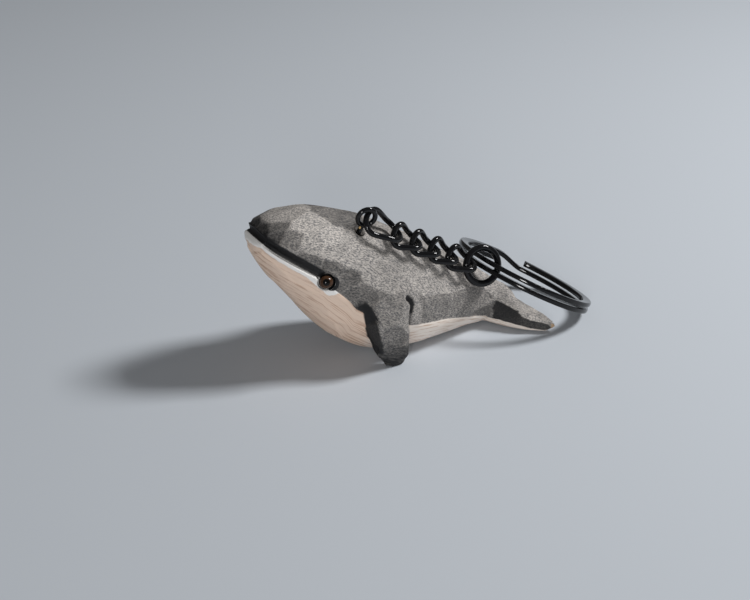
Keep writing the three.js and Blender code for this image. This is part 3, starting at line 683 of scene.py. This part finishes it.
def paintedWood(p):
    material, tree, shader = newMaterial("paintedWood")
    place = tree.node("ShaderNodeTexCoord", out=3)
    apart = place.node("ShaderNodeSeparateXYZ", None, {0: place})
    x, y, z = [Strand(tree.tree, apart.socket.node.outputs[k]) * 1000.0 for k in range(3)]
    level, slope = p["strokeWay"]
    along = x * level - z * slope
    up = x * slope + z * level

    def read(name):
        return tree.node("ShaderNodeAttribute", {"attribute_name": name}, None, 2)

    def noise(a, b, c, detail=3.0, rough=0.6):
        spot = tree.node("ShaderNodeCombineXYZ", None, {0: a, 1: b, 2: c})
        sockets = {"Vector": spot, "Scale": 1.0, "Detail": detail, "Roughness": rough}
        return tree.node("ShaderNodeTexNoise", None, sockets)

    def stroked(name, detail=3.0, rough=0.6):
        lengthwise, across = p[name]
        return noise(along * lengthwise, y * across, up * across, detail, rough)

    def edged(name, value):
        sway, start, full = p["edges"][name]
        return (value + wobble * sway).rise(start, full)

    below, flipper, ridge, tone = read("below"), read("flipper"), read("ridge"), read("tone")
    wobble = noise(x * p["wobble"], y * p["wobble"], z * p["wobble"]) - 0.5
    speck = stroked("speck")
    streak = stroked("streak")
    blotch = stroked("blotch", 2.0, 0.5)

    # dry-brushed grey: light specks, dark streaks, the black base where the brush left less, and painted
    # shade in the undercuts, creases and on the cheek
    grey = speck.rise(*p["speckFade"]).tint(p["greyDark"], p["greyLight"])
    deep = p["meanShade"] + read("shade") - tone * p["facetShade"] - ridge * p["ridgeShade"]
    deep = deep + (blotch - 0.5) * p["blotchShade"] + (streak - 0.5) * p["streakShade"]
    grey = deep.tint(grey, p["blackBaseAndShade"])

    # whitewashed belly with the wood's grain showing through, along the jaw
    a, b, c = p["grain"]
    grain = noise(x * a, below * b, y * c, 3.0, 0.65)
    a, b, c = p["thin"]
    thin = noise(x * a, below * b, y * c)
    white = x.rise(*p["throatFade"]).tint(p["throat"], p["belly"])
    least, more = p["thinShow"]
    white = (grain.rise(*p["grainFade"]) * (least + thin * more)).tint(white, p["whiteGrain"])
    rimWidth = p["rimWidth"] + wobble * p["rimSway"]
    rimWidth = rimWidth + x.rise(*p["rimMoreFade"]) * p["rimMore"] - x.rise(*p["rimLessFade"]) * p["rimLess"]
    rimEnd = bodyLines["mouthEnd"] + p["rimPast"]
    rimMask = (rimWidth - below).rise(*p["rimSoft"]) * (rimEnd - x).rise(*p["rimEndSoft"])
    white = rimMask.tint(white, p["rim"])

    whiteMask = edged("white", below) * (0.0 - flipper).rise(*p["flipperSoft"])
    colour = whiteMask.tint(grey, white)
    bandMask = edged("band", read("band") + (speck - 0.5) * p["bandRagged"])
    crescent = edged("crescent", read("crescent"))
    leading = edged("leading", read("leading")) * (1.0 - whiteMask)
    # black paint and the flukes' painted shade, lighter towards the flukes' tips
    frontDarkness = p["frontBlack"] - x.rise(*p["flukeTipLighterFade"]) * p["flukeTipLighter"]
    black = bandMask.math("MAXIMUM", bandMask, leading * frontDarkness)
    colour = black.tint(colour, p["black"])
    colour = crescent.tint(colour, p["black"])
    colour = edged("nick", read("nick")).tint(colour, p["bareWood"])
    feed(shader, "Base Color", colour)
    rough = p["rough"] - bandMask * p["bandGloss"] - crescent * p["crescentGloss"]
    feed(shader, "Roughness", rough + (speck - 0.5) * p["speckGloss"])
    height = speck * 0.5 + streak * 0.5
    sockets = {"Strength": p["bumpStrength"], "Distance": p["bumpHeight"], "Height": height}
    feed(shader, "Normal", tree.node("ShaderNodeBump", None, sockets))
    shader.inputs["Specular IOR Level"].default_value = p["shine"]
    return material


def addPiece(made, node, body, material):
    made.data.materials.clear()
    made.data.materials.append(material)
    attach(made, body)
    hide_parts(node)


body, bodyPoints, bodyRidge, bodyTone = makeBody(carving)
markBody(body.data, bodyPoints, bodyRidge, bodyTone, marks)
addPiece(body, "whale_body", "whale", paintedWood(paint))
print("body painted")

# eyes: glass domes with a brown iris, looking outwards and a little up
eyes = {
    "gaze": (-0.36, 0.88, 0.30),  # mirrored
    "iris": 0.45,  # cosine of the iris' edge, seen from the eye's middle
    "irisSoft": 0.04,
    "irisRagged": 0.06,
    "pupil": 0.88,
    "pupilSoft": 0.03,
    "bulge": 0.05,
    "bulgeFrom": 0.5,
    "rays": 9.0,
    "rayFade": (0.42, 0.66),
    "brown": (0.055, 0.026, 0.013),
    "amber": (0.078, 0.038, 0.020),
    "dark": (0.003, 0.003, 0.003),
    "rough": (0.10, 0.08),  # least, and what the rays add
    "shine": 0.25,
    "segments": (40, 24),
}


def eyeGlass(e, middle, gaze):
    material, tree, shader = newMaterial("eyeGlass")
    place = tree.node("ShaderNodeTexCoord", out=3)
    out = tree.node("ShaderNodeVectorMath", {"operation": "SUBTRACT"}, {0: place, 1: tuple(middle)})
    out = tree.node("ShaderNodeVectorMath", {"operation": "NORMALIZE"}, {0: out})
    facing = tree.node("ShaderNodeVectorMath", {"operation": "DOT_PRODUCT"}, {0: out, 1: tuple(gaze)}, 1)
    rays = tree.node("ShaderNodeTexNoise", None, {"Vector": out, "Scale": e["rays"], "Detail": 3.0})
    ragged = facing + (rays - 0.5) * e["irisRagged"]
    iris = ragged.rise(e["iris"] - e["irisSoft"], e["iris"] + e["irisSoft"])
    pupil = facing.rise(e["pupil"] - e["pupilSoft"], e["pupil"] + e["pupilSoft"])
    brown = rays.rise(*e["rayFade"]).tint(e["brown"], e["amber"])
    colour = iris.tint(e["dark"], brown)
    feed(shader, "Base Color", pupil.tint(colour, e["dark"]))
    least, more = e["rough"]
    feed(shader, "Roughness", least + rays * more)
    shader.inputs["Specular IOR Level"].default_value = e["shine"]
    return material


def makeEye(e, node, side):
    low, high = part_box(node)
    middle = (low + high) / 2
    half = (high - low) / 2
    gaze = Vector((e["gaze"][0], e["gaze"][1] * side, e["gaze"][2])).normalized()
    turn = gaze.to_track_quat("Z", "Y")
    around, down = e["segments"]
    shape = bmesh.new()
    bmesh.ops.create_uvsphere(shape, u_segments=around, v_segments=down, radius=1.0)
    for v in shape.verts:
        way = turn @ v.co
        swell = 1 + e["bulge"] * max(0.0, (way.dot(gaze) - e["bulgeFrom"]) / (1 - e["bulgeFrom"]))
        v.co = middle + Vector((way.x * half.x, way.y * half.y, way.z * half.z)) * swell / (1 + e["bulge"])
    bmesh.ops.recalc_face_normals(shape, faces=shape.faces)
    mesh = bpy.data.meshes.new(node + "Dome")
    shape.to_mesh(mesh)
    shape.free()
    smoothFaces(mesh)
    made = bpy.data.objects.new(node + "Dome", mesh)
    scene.collection.objects.link(made)
    addPiece(made, node, "whale", eyeGlass(e, middle, gaze))


makeEye(eyes, "left_eye", -1)
makeEye(eyes, "right_eye", 1)
print("eyes set")

# chain and rings: the solids' own shapes, rounded
wire = {
    "bodies": {
        "screw_eye": "whale", "chain_link_1": "first_link", "chain_link_2": "second_link",
        "chain_link_3": "third_link", "chain_link_4": "fourth_link", "chain_link_5": "fifth_link",
        "end_ring": "joining_ring", "split_ring": "key_ring",
    },
    "roundings": 1,
    # added to the wire's radius, millimetres
    "swell": {"chain_link_1": -0.03, "chain_link_2": -0.03, "end_ring": 0.10},
    "weld": 0.000005,
    "flatAngle": 0.4,  # triangles that meet at less than this become one face
    "squareAngle": 0.9,
    "black": (0.006, 0.006, 0.007),
    "worn": (0.015, 0.015, 0.016),
    "wear": 900.0,  # noise, waves in each metre
    "wearFade": (0.52, 0.74),
    "scuff": 260.0,
    "scuffFade": (0.40, 0.75),
    "rough": (0.06, 0.08),  # least, and what the scuffs add
    "bumpStrength": 0.05,
    "bumpHeight": 0.00003,
    "shine": 0.34,
    # bare brass at the cut end of the screw eye's loop, its colour also a painted glint there; millimetres
    "brassAndGlint": (0.85, 0.58, 0.25),
    "brassSpot": (-10.7, -5.35, 27.8),
    "brassSize": 0.35,
    "brassRagged": 0.3,
    "brassSoft": 0.12,
}


def blackMetal(w):
    material, tree, shader = newMaterial("blackMetal")
    place = tree.node("ShaderNodeTexCoord", out=3)
    wear = tree.node("ShaderNodeTexNoise", None, {"Vector": place, "Scale": w["wear"], "Detail": 3.0})
    scuff = tree.node("ShaderNodeTexNoise", None, {"Vector": place, "Scale": w["scuff"], "Detail": 4.0})
    spot = tuple(value * 0.001 for value in w["brassSpot"])
    away = tree.node("ShaderNodeVectorMath", {"operation": "DISTANCE"}, {0: place, 1: spot}, 1) * 1000.0
    # bare brass and a painted glint at the loop's cut end
    brassAndGlint = (w["brassSize"] - away + (wear - 0.5) * w["brassRagged"]).rise(0.0, w["brassSoft"])
    colour = wear.rise(*w["wearFade"]).tint(w["black"], w["worn"])
    feed(shader, "Base Color", brassAndGlint.tint(colour, w["brassAndGlint"]))
    least, more = w["rough"]
    feed(shader, "Roughness", least + scuff.rise(*w["scuffFade"]) * more)
    sockets = {"Strength": w["bumpStrength"], "Distance": w["bumpHeight"], "Height": scuff}
    feed(shader, "Normal", tree.node("ShaderNodeBump", None, sockets))
    shader.inputs["Specular IOR Level"].default_value = w["shine"]
    return material


# a rounded copy of a wire, through the solid's corners
def rounded(node, w):
    shape = bmesh.new()
    shape.from_mesh(nodes[node].data)
    bmesh.ops.remove_doubles(shape, verts=shape.verts, dist=w["weld"])
    angles = {"angle_face_threshold": w["flatAngle"], "angle_shape_threshold": w["squareAngle"]}
    bmesh.ops.join_triangles(shape, faces=shape.faces, **angles)
    coarse = bpy.data.meshes.new(node + "Coarse")
    shape.to_mesh(coarse)
    shape.free()
    made = bpy.data.objects.new(node + "Wire", coarse)
    scene.collection.objects.link(made)
    step = made.modifiers.new("rounding", "SUBSURF")
    step.levels = step.render_levels = w["roundings"]
    graph = bpy.context.evaluated_depsgraph_get()
    mesh = bpy.data.meshes.new_from_object(made.evaluated_get(graph))
    made.modifiers.clear()
    made.data = mesh
    # the rounding shrinks the wire: its corners go back to the solid's, the rest follows them
    before = readMesh(coarse)[0]
    after, edges = readMesh(mesh)
    shift = np.zeros_like(after)
    shift[:len(before)] = before - after[:len(before)]
    known = np.arange(len(after)) < len(before)
    while not known.all():
        both = np.concatenate([edges, edges[:, ::-1]])
        both = both[known[both[:, 0]] & ~known[both[:, 1]]]
        count = np.bincount(both[:, 1], minlength=len(after))
        for axis in range(3):
            total = np.bincount(both[:, 1], shift[both[:, 0], axis], len(after))
            shift[:, axis] += total / np.maximum(count, 1)
        known |= count > 0
    points = after + shift + normalsOf(mesh) * w["swell"].get(node, 0)
    low, high = [np.array(corner) * 1000 for corner in solidBox]
    writePoints(mesh, np.clip(points, low, high))
    smoothFaces(mesh)
    return made


metal = blackMetal(wire)
for node, owner in wire["bodies"].items():
    addPiece(rounded(node, wire), node, owner, metal)
print("chain and rings finished")

# camera: the photograph's angle, and where the frame's origin falls in a picture of 750 by 600
cameraView = {
    "azimuth": -26,
    "elevation": 24,
    "focalPixels": 1772,
    "originAt": (396.32, 338.45),
    "originDepth": 0.3568,
    "picture": (750, 600),
    "sensor": 36,
    "clip": (0.01, 20),
}


def makeCamera(v):
    data = bpy.data.cameras.new("camera")
    made = bpy.data.objects.new("camera", data)
    scene.collection.objects.link(made)
    width, height = v["picture"]
    data.sensor_width = v["sensor"]
    data.lens = v["focalPixels"] * v["sensor"] / width
    data.clip_start, data.clip_end = v["clip"]
    a, e = math.radians(v["azimuth"]), math.radians(v["elevation"])
    back = Vector((math.sin(a) * math.cos(e), -math.cos(a) * math.cos(e), math.sin(e)))
    right = Vector((math.cos(a), math.sin(a), 0))
    up = back.cross(right)
    perPixel = v["originDepth"] / v["focalPixels"]
    aside = (v["originAt"][0] - width / 2) * perPixel
    below = (v["originAt"][1] - height / 2) * perPixel
    made.rotation_mode = "QUATERNION"
    made.rotation_quaternion = (-back).to_track_quat("-Z", "Y")
    made.location = back * v["originDepth"] - right * aside + up * below
    scene.camera = made


makeCamera(cameraView)
print("camera placed")

# studio: pale floor, a soft lamp high on the right, a weaker one in front on the left
studio = {
    "floorSize": 3.0,
    "floorColour": (0.60, 0.64, 0.69),
    "floorRough": 0.8,
    "floorShine": 0.2,
    "worldColour": (0.87, 0.87, 0.87),
    "worldStrength": 0.14,
    "keyFrom": (0.44, -0.11, 0.47),
    "keySize": 0.15,
    "keyPower": 3.3,
    "fillFrom": (-0.38, -0.68, 0.20),
    "fillSize": 0.15,
    "fillPower": 1.9,
    "lampsAt": (0, 0, 0.015),  # what the lamps point at
}


def makeLamp(s, name):
    place = Vector(s[name + "From"])
    data = bpy.data.lights.new(name + "Lamp", "AREA")
    data.shape = "SQUARE"
    data.size = s[name + "Size"]
    data.energy = s[name + "Power"]
    made = bpy.data.objects.new(name + "Lamp", data)
    made.location = place
    made.rotation_euler = (Vector(s["lampsAt"]) - place).to_track_quat("-Z", "Y").to_euler()
    scene.collection.objects.link(made)


def makeStudio(s):
    half = s["floorSize"] / 2
    corners = [(-half, -half, 0), (half, -half, 0), (half, half, 0), (-half, half, 0)]
    mesh = bpy.data.meshes.new("floor")
    mesh.from_pydata(corners, [], [(0, 1, 2, 3)])
    floor = bpy.data.objects.new("floor", mesh)
    scene.collection.objects.link(floor)
    material, _, shader = newMaterial("palePaper")
    shader.inputs["Base Color"].default_value = (*s["floorColour"], 1)
    shader.inputs["Roughness"].default_value = s["floorRough"]
    shader.inputs["Specular IOR Level"].default_value = s["floorShine"]
    mesh.materials.append(material)
    makeLamp(s, "key")
    makeLamp(s, "fill")
    world = bpy.data.worlds.new("studio")
    scene.world = world
    world.use_nodes = True
    sky = world.node_tree.nodes["Background"]
    sky.inputs["Color"].default_value = (*s["worldColour"], 1)
    sky.inputs["Strength"].default_value = s["worldStrength"]


makeStudio(studio)
print("studio lit")
